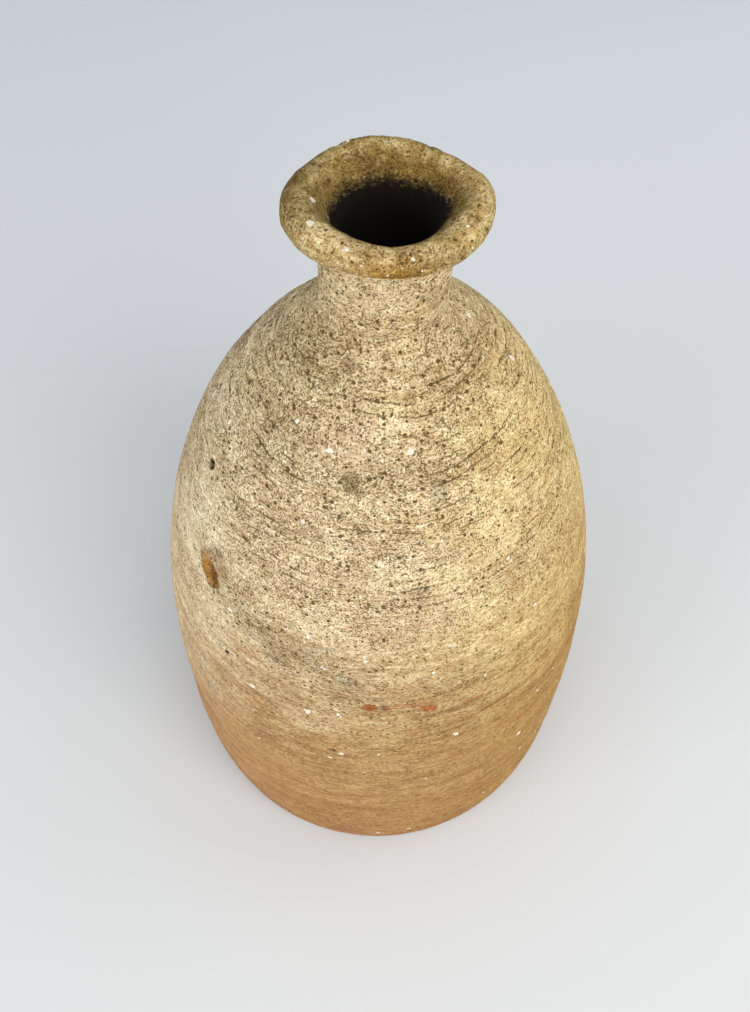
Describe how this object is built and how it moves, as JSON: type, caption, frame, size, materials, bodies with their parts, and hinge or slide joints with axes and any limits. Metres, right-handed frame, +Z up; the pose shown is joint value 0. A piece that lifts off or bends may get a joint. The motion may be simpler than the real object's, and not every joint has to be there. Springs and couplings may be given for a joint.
{
  "type": "sake bottle",
  "caption": "Broad-based unglazed stoneware sake bottle with a domed shoulder, short neck and flared rolled rim, for holding and pouring sake.",
  "frame": {"origin": "middle of the flat foot, on the surface the bottle stands on", "axes": "+Z up along the body's axis, towards the mouth; +X to the side the rim leans to; -Y is the front"},
  "size_m": [0.1194, 0.1194, 0.2009],
  "materials": {
    "foot_clay": "coarse unglazed fired clay, orange-brown",
    "lower_wall_clay": "unglazed fired clay with a pink-orange blush and fine throwing lines",
    "belly_clay": "coarse unglazed buff clay with throwing lines and white grains",
    "shoulder_clay": "coarse unglazed buff clay with dark pits and natural ash tone",
    "neck_clay": "coarse unglazed buff clay",
    "rim_clay": "coarse unglazed ochre clay with white grains"
  },
  "bodies": {
    "root": {"base_slab": "foot_clay", "lower_wall": "lower_wall_clay", "belly_wall": "belly_clay", "shoulder": "shoulder_clay", "neck_collar": "neck_clay", "rim": "rim_clay"}
  },
  "joints": []
}
